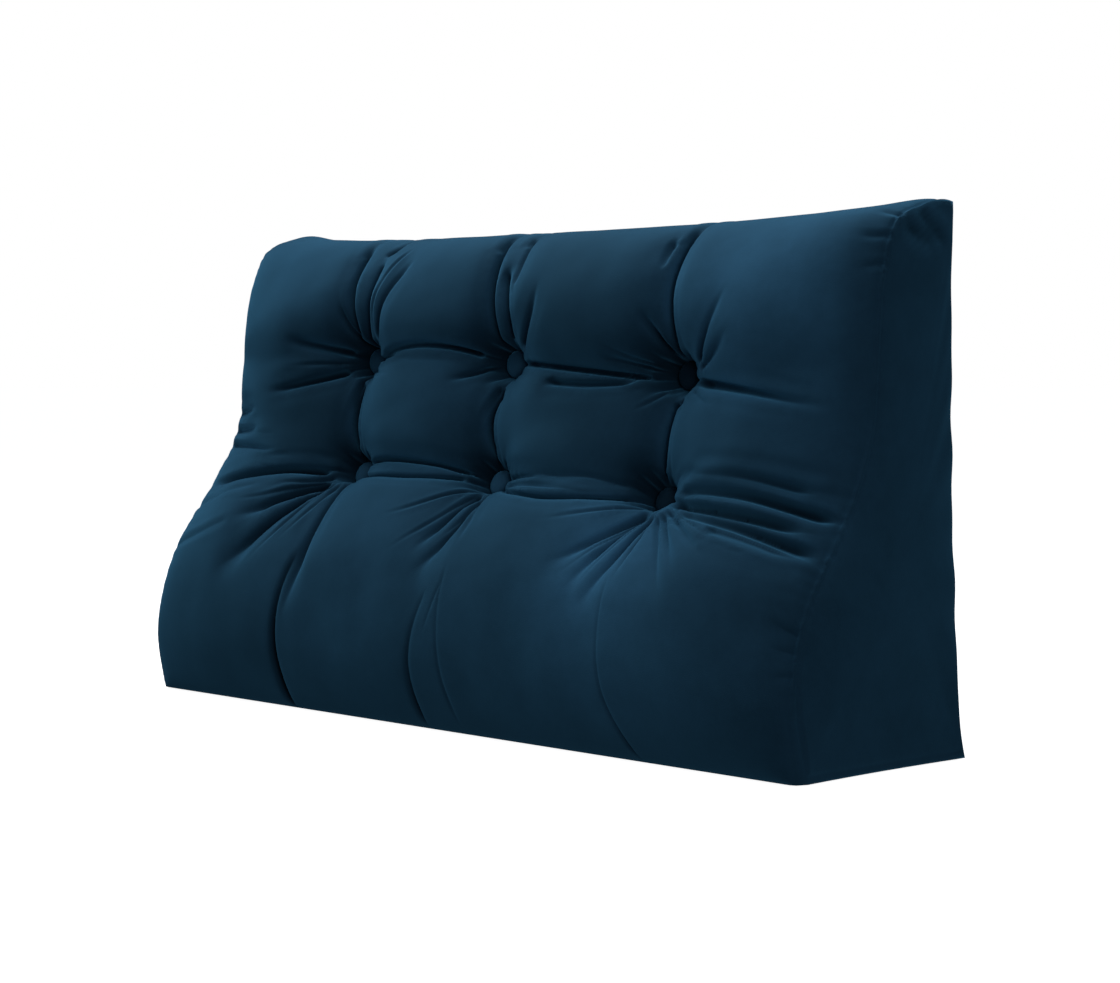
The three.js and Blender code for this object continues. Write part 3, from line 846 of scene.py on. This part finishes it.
# All points of the face, its edges first: top, bottom, then the two ends without their corners
def face_layout():
    stations = np.linspace(-LENGTH / 2, LENGTH / 2, EDGE_STATIONS + 1)
    arcs = np.linspace(0, FACE_ARC, EDGE_ARCS + 1)
    spread = Spread()
    for arc in (0, FACE_ARC):
        for x in stations:
            spread.add(x, arc, 0)
    for x in (-LENGTH / 2, LENGTH / 2):
        for arc in arcs[1:-1]:
            spread.add(x, arc, 0)
    edge_arcs = np.arange(EDGE_SPACING, FACE_ARC, EDGE_SPACING)
    for from_end in EDGE_ROWS:
        for x in (from_end - LENGTH / 2, LENGTH / 2 - from_end):
            spread.add_inside([(x, arc) for arc in edge_arcs], FOLD_ROOM)
    for aside in FOLD_ROWS:
        for fold in FOLDS + FINE_FOLDS:
            spread.add_inside(fold_row(fold, aside * fold[FOLD_WIDTH]), FOLD_ROOM)
            if aside:
                spread.add_inside(fold_row(fold, -aside * fold[FOLD_WIDTH]), FOLD_ROOM)
    for tuft in TUFTS:
        x, arc, reach = tuft["x"], tuft["arc"], TUFT_REACH
        patch = staggered(x - reach, x + reach, arc - reach, arc + reach, TUFT_SPACING)
        patch = [spot for spot in patch if math.hypot(spot[0] - x, spot[1] - arc) < reach]
        spread.add_inside(patch, TUFT_SPACING * ROOM_SHARE)
    everywhere = staggered(-LENGTH / 2, LENGTH / 2, 0, FACE_ARC, OPEN_SPACING)
    spread.add_inside(everywhere, OPEN_SPACING * ROOM_SHARE)
    return stations, spread.points


# Smooth reading of a grid between its points
def read_grid(grid, stations, arcs, x, arc):
    columns, rows = grid.shape[:2]
    u, v = np.interp(x, stations, np.arange(columns)), np.interp(arc, arcs, np.arange(rows))
    start_u, start_v = np.minimum(u.astype(int), columns - 2), np.minimum(v.astype(int), rows - 2)
    total = np.zeros((len(x), grid.shape[2]))
    for a, share_u in enumerate(spline_shares(u - start_u)):
        for b, share_v in enumerate(spline_shares(v - start_v)):
            i, j = np.clip(start_u + a - 1, 0, columns - 1), np.clip(start_v + b - 1, 0, rows - 1)
            total += (share_u * share_v)[:, None] * grid[i, j]
    return total


def spline_shares(w):
    return (
        (-w + 2 * w**2 - w**3) / 2,
        (2 - 5 * w**2 + 3 * w**3) / 2,
        (w + 4 * w**2 - 3 * w**3) / 2,
        (w**3 - w**2) / 2,
    )


# The tufted face: settled on a grid, then laid out finely and creased
def face_mesh(layout):
    stations = graded(COLUMNS, -LENGTH / 2, LENGTH / 2, [t["x"] for t in UPPER])
    arcs = graded(ROWS, 0, FACE_ARC, [UPPER[1]["arc"], LOWER[1]["arc"]])
    face = face_points(*np.meshgrid(stations, arcs, indexing="ij"))
    face = settle(face, stations, arcs)
    x, arc = np.array(layout).T
    points = read_grid(face, stations, arcs, x, arc)
    out = read_grid(outward(face), stations, arcs, x, arc)
    out /= np.linalg.norm(out, axis=-1, keepdims=True)
    inside = (np.abs(x) < LENGTH / 2 - ON_EDGE) & (arc > ON_EDGE) & (arc < FACE_ARC - ON_EDGE)
    points += out * (creases(x, arc) * inside)[:, None]
    spots = [Vector(spot) for spot in layout]
    _, _, cells, origins, _, _ = delaunay_2d_cdt(spots, [], [], 0, JOIN_TOLERANCE)
    source = [ids[0] for ids in origins]
    triangles = [tuple(source[k] for k in reversed(cell)) for cell in cells]
    return points, triangles


# Slack of the right end panel
def end_folds(depth, height):
    lift = np.zeros(depth.shape)
    for line in END_FOLDS:
        held, off = near_line(depth, height, *line)
        along = smoothstep(0, END_FOLD_FADE, held) * smoothstep(0, END_FOLD_FADE, 1 - held)
        lip = END_FOLD_LIP * np.exp(-((off / END_FOLD_WIDTH - END_FOLD_LIP_PLACE) ** 2))
        lift += END_FOLD_DEPTH * along * (lip - np.exp(-((off / END_FOLD_WIDTH) ** 2)))
    return lift


def end_rings(seam, side):
    centre_x = side * (LENGTH / 2 - END_DRAW_IN)
    rings, painted_light = [], []
    for size in END_RINGS:
        depth = END_CENTRE[0] + (-seam[:, 1] - END_CENTRE[0]) * size
        height = END_CENTRE[1] + (seam[:, 2] - END_CENTRE[1]) * size
        flat = centre_x + (seam[:, 0] - centre_x) * size**END_FADE
        flat = flat - side * GROOVE_DEPTH * np.exp(-(((height - GROOVE_HEIGHT) / GROOVE_HALF) ** 2))
        lift = end_folds(depth, height) if side > 0 else np.zeros(depth.shape)
        flat = flat + side * lift
        # Painted shade in the end folds and painted highlight on their lips
        painted_light.append(painted_crease_shade_and_lip_light(lift))
        rings.append(np.stack([flat + side * end_swell(depth, height), -depth, height], axis=-1))
    depth, height = np.array(END_CENTRE)
    middle = np.array([centre_x + side * end_swell(depth, height), -depth, height])
    return np.array(rings), middle, np.concatenate([*painted_light, [1]])


def band(outer, inner):
    after = np.roll(outer, -1), np.roll(inner, -1)
    return np.stack([outer, after[0], after[1], inner], axis=-1)


def case_mesh():
    stations, layout = face_layout()
    face, triangles = face_mesh(layout)
    count = len(stations)
    top, bottom = np.arange(count), count + np.arange(count)
    first_end = 2 * count
    per_end = EDGE_ARCS - 1
    ends = [first_end + side * per_end + np.arange(per_end) for side in (0, 1)]

    # Base and back, from the lower edge of the face round to its top edge
    depths = np.linspace(FRONT_DEPTH, SEAM_SETBACK, BASE_STEPS + 1)[1:-1]
    heights = np.linspace(SEAM_LIFT, TOP_HEIGHT, BACK_STEPS + 1)[:-1]
    base = base_points(*np.meshgrid(stations, depths, indexing="ij"))
    back = back_points(*np.meshgrid(stations, heights, indexing="ij"))
    rest = np.concatenate([base, back], axis=1)
    rest_index = len(face) + np.arange(rest.shape[0] * rest.shape[1]).reshape(rest.shape[:2])
    chain = np.concatenate([bottom[:, None], rest_index, top[:, None]], axis=1)
    corners = chain[:-1, :-1], chain[:-1, 1:], chain[1:, 1:], chain[1:, :-1]
    quads = [np.stack(corners, axis=-1).reshape(-1, 4)]
    points = np.concatenate([face, rest.reshape(-1, 3)])

    # End panels, as rings inside their seams
    end_painted_light = []
    for column, side in ((0, -1), (count - 1, 1)):
        edge = ends[0] if side < 0 else ends[1]
        seam = np.concatenate([[top[column]], edge, [bottom[column]], rest_index[column]])
        rings, middle, ring_painted_light = end_rings(points[seam], side)
        end_painted_light.append(ring_painted_light)
        around = len(seam)
        ring_index = len(points) + np.arange(rings.shape[0] * around).reshape(-1, around)
        middle_index = len(points) + rings.shape[0] * around
        points = np.concatenate([points, rings.reshape(-1, 3), middle[None]])
        loops = [seam, *ring_index]
        for outer, inner in zip(loops, loops[1:]):
            ring = band(outer, inner)
            quads.append(ring if side > 0 else ring[:, ::-1])
        fan = np.stack([loops[-1], np.roll(loops[-1], -1), np.full(around, middle_index)], axis=-1)
        triangles += [tuple(t) for t in (fan if side > 0 else fan[:, ::-1]).tolist()]
    faces = [tuple(q) for q in np.concatenate(quads).tolist()] + triangles
    places = points * MM + np.array([0, BACK_PLANE, 0])
    # Painted light and shade for every point: the face, the plain base and back, and the end panels
    painted_light = np.concatenate([painted_light_on_face(*np.array(layout).T), np.ones(rest_index.size), *end_painted_light])
    return places, faces, painted_light


def add_mesh(name, places, faces, painted_light, material):
    mesh = bpy.data.meshes.new(name)
    mesh.from_pydata(places.tolist(), [], faces)
    mesh.update()
    mesh.polygons.foreach_set("use_smooth", np.ones(len(mesh.polygons), bool))
    mesh.attributes.new("painted_light", "FLOAT", "POINT").data.foreach_set("value", painted_light.astype(np.float32))
    mesh.materials.append(material)
    piece = bpy.data.objects.new(name, mesh)
    bpy.context.scene.collection.objects.link(piece)
    return piece


# Velvet: name, ground colour and sheen of the case's cloth, and of a darker copy with less sheen that is
# painted shade on two buttons
CLOTH = ("petrol_velvet", (0.0150, 0.053, 0.100), 1.0)
PAINTED_SHADE_CLOTH = ("petrol_velvet_painted_shade", (0.0045, 0.016, 0.030), 0.2)
VELVET_ROUGHNESS = 0.85
VELVET_SPECULAR = 0.04
SHEEN_ROUGHNESS = 0.55
SHEEN_TINT = (0.075, 0.3, 0.52, 1)
CLOUD_SCALE = 9.0  # of the clouds of darker ground
CLOUD_DETAIL = 9.0
CLOUD_ROUGHNESS = 0.7
CLOUD_RANGE = (0.3, 0.72)
CLOUD_SHARE = 0.57  # of the ground, where they are darkest
PILE_SCALE = 900.0
PILE_DETAIL = 2.0
PILE_STRENGTH = 0.25
PILE_DISTANCE = 0.0006  # metres


# A dark ground in clouds, a pale sheen, painted light and shade scaling the ground, and a fine pile bump
def velvet(name, ground, sheen):
    material = bpy.data.materials.new(name)
    material.use_nodes = True
    nodes, links = material.node_tree.nodes, material.node_tree.links
    shader = nodes["Principled BSDF"]
    shader.inputs["Roughness"].default_value = VELVET_ROUGHNESS
    shader.inputs["Specular IOR Level"].default_value = VELVET_SPECULAR
    shader.inputs["Sheen Weight"].default_value = sheen
    shader.inputs["Sheen Roughness"].default_value = SHEEN_ROUGHNESS
    shader.inputs["Sheen Tint"].default_value = SHEEN_TINT
    where = nodes.new("ShaderNodeTexCoord")

    clouds = nodes.new("ShaderNodeTexNoise")
    clouds.inputs["Scale"].default_value = CLOUD_SCALE
    clouds.inputs["Detail"].default_value = CLOUD_DETAIL
    clouds.inputs["Roughness"].default_value = CLOUD_ROUGHNESS
    links.new(where.outputs["Object"], clouds.inputs["Vector"])
    shades = nodes.new("ShaderNodeValToRGB")
    dark, full = shades.color_ramp.elements
    dark.position, full.position = CLOUD_RANGE
    dark.color = (*(CLOUD_SHARE * part for part in ground), 1)
    full.color = (*ground, 1)
    links.new(clouds.outputs["Fac"], shades.inputs["Fac"])
    # Painted light and shade, stored on the points, scale the ground colour
    painted_light_factor = nodes.new("ShaderNodeAttribute")
    painted_light_factor.attribute_name = "painted_light"
    lit = nodes.new("ShaderNodeVectorMath")
    lit.operation = "SCALE"
    links.new(shades.outputs["Color"], lit.inputs["Vector"])
    links.new(painted_light_factor.outputs["Fac"], lit.inputs["Scale"])
    links.new(lit.outputs["Vector"], shader.inputs["Base Color"])

    pile_noise_and_crease_paint = nodes.new("ShaderNodeTexNoise")
    pile_noise_and_crease_paint.inputs["Scale"].default_value = PILE_SCALE
    pile_noise_and_crease_paint.inputs["Detail"].default_value = PILE_DETAIL
    links.new(where.outputs["Object"], pile_noise_and_crease_paint.inputs["Vector"])
    bump = nodes.new("ShaderNodeBump")
    bump.inputs["Strength"].default_value = PILE_STRENGTH
    bump.inputs["Distance"].default_value = PILE_DISTANCE
    links.new(pile_noise_and_crease_paint.outputs["Fac"], bump.inputs["Height"])
    links.new(bump.outputs["Normal"], shader.inputs["Normal"])
    return material


# A covered button, with flat back, tucked rim and low dome: share of the radius, share of the height
BUTTON_SECTION = (
    (0.0, 0.0),
    (0.5, 0.0),
    (0.84, 0.02),
    (0.95, 0.12),
    (1.0, 0.28),
    (1.0, 0.42),
    (0.97, 0.56),
    (0.91, 0.68),
    (0.82, 0.79),
    (0.7, 0.88),
    (0.55, 0.94),
    (0.38, 0.98),
    (0.19, 1.0),
    (0.0, 1.0),
)
BUTTON_SIDES = 56
BUTTON_PLEATS = 11
BUTTON_PLEAT_DEPTH = 0.018  # of the radius
BUTTON_PLEATS_FROM = 0.7
# Painted light on the buttons: their ground made brighter than the case's
BUTTON_PAINTED_LIGHT = 1.6  # share of the ground's brightness
# Buttons that take the darker copy of the velvet, as painted shade
SHADED_BUTTONS = ("button_upper_right", "button_lower_right")  # nearly black in the photo


def button_mesh(tuft):
    turns = np.arange(BUTTON_SIDES) * 2 * math.pi / BUTTON_SIDES
    forward = np.array([0, -tuft["axis"][0], tuft["axis"][1]])
    upward = np.array([0, tuft["axis"][1], tuft["axis"][0]])
    sideways = np.array([1.0, 0, 0])
    foot = np.array([tuft["x"], -tuft["seat"][0], tuft["seat"][1]]) + SEAT_GAP * forward
    points, rings = [], []
    for out, up in BUTTON_SECTION:
        if out == 0:
            rings.append(np.full(BUTTON_SIDES, len(points)))
            points.append(foot + up * BUTTON_HEIGHT * forward)
            continue
        pleats = 0.5 + 0.5 * np.cos(BUTTON_PLEATS * turns)
        pleat = 1 - BUTTON_PLEAT_DEPTH * pleats * smoothstep(BUTTON_PLEATS_FROM, 1, out)
        radius = BUTTON_RADIUS * out * pleat
        rings.append(len(points) + np.arange(BUTTON_SIDES))
        ring = radius[:, None] * (np.cos(turns)[:, None] * sideways + np.sin(turns)[:, None] * upward)
        points += list(foot + up * BUTTON_HEIGHT * forward + ring)
    faces = []
    for low, high in zip(rings, rings[1:]):
        for corners in band(low, high).tolist():
            faces.append(tuple(dict.fromkeys(corners)))
    places = np.array(points) * MM + np.array([0, BACK_PLANE, 0])
    return places, faces, np.full(len(points), BUTTON_PAINTED_LIGHT)


def add_camera():
    data = bpy.data.cameras.new("camera")
    data.sensor_fit = "HORIZONTAL"
    data.sensor_width = CAMERA_SENSOR
    data.lens = CAMERA_LENS
    camera = bpy.data.objects.new("camera", data)
    bpy.context.scene.collection.objects.link(camera)
    a, e = CAMERA_AZIMUTH, CAMERA_DOWN
    back = Vector((math.sin(a) * math.cos(e), -math.cos(a) * math.cos(e), math.sin(e)))
    right = Vector((math.cos(a), math.sin(a), 0))
    up = back.cross(right)
    turn = Matrix((right, up, back)).transposed().to_4x4()
    camera.matrix_world = Matrix.Translation(Vector(CAMERA_PLACE) + Vector((0, BACK_PLANE, 0))) @ turn
    bpy.context.scene.camera = camera


def add_area(name, place_m, power):
    data = bpy.data.lights.new(name, "AREA")
    data.shape = "DISK"
    data.size = LIGHT_SIZE
    data.energy = power
    data.color = LIGHT_COLOUR
    light = bpy.data.objects.new(name, data)
    bpy.context.scene.collection.objects.link(light)
    light.location = place_m
    light.rotation_euler = (Vector(place_m) - Vector(LIGHT_AIM)).to_track_quat("Z", "Y").to_euler()


def add_stage():
    bpy.ops.mesh.primitive_circle_add(
        vertices=FLOOR_SIDES, radius=FLOOR_RADIUS, fill_type="NGON", location=(0, 0, 0))
    floor = bpy.context.object
    floor.name = "floor"
    material = bpy.data.materials.new("floor_paper")
    material.use_nodes = True
    shader = material.node_tree.nodes["Principled BSDF"]
    shader.inputs["Base Color"].default_value = FLOOR_COLOUR
    shader.inputs["Roughness"].default_value = 1.0
    shader.inputs["Specular IOR Level"].default_value = 0.0
    shader.inputs["Emission Color"].default_value = WHITE
    shader.inputs["Emission Strength"].default_value = FLOOR_GLOW
    floor.data.materials.append(material)
    floor.visible_diffuse = False
    floor.visible_glossy = False


def add_world():
    world = bpy.data.worlds.new("studio")
    bpy.context.scene.world = world
    world.use_nodes = True
    nodes, links = world.node_tree.nodes, world.node_tree.links
    seen = nodes["Background"]
    seen.inputs["Color"].default_value = WHITE
    seen.inputs["Strength"].default_value = 1.0
    fill = nodes.new("ShaderNodeBackground")
    fill.inputs["Color"].default_value = SKY_COLOUR
    fill.inputs["Strength"].default_value = SKY_STRENGTH
    rays = nodes.new("ShaderNodeLightPath")
    mix = nodes.new("ShaderNodeMixShader")
    links.new(rays.outputs["Is Camera Ray"], mix.inputs[0])
    links.new(fill.outputs[0], mix.inputs[1])
    links.new(seen.outputs[0], mix.inputs[2])
    links.new(mix.outputs[0], nodes["World Output"].inputs["Surface"])


cloth = velvet(*CLOTH)
painted_shade_cloth = velvet(*PAINTED_SHADE_CLOTH)
case = add_mesh("tufted_case", *case_mesh(), cloth)
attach(case, "root")
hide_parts("cushion")

for tuft in TUFTS:
    material = painted_shade_cloth if tuft["node"] in SHADED_BUTTONS else cloth
    cover = add_mesh(tuft["node"] + "_cover", *button_mesh(tuft), material)
    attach(cover, "root")
    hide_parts(tuft["node"])

add_camera()
for light in LIGHTS:
    add_area(*light)
add_stage()
add_world()
bpy.context.scene.view_settings.view_transform = "Standard"
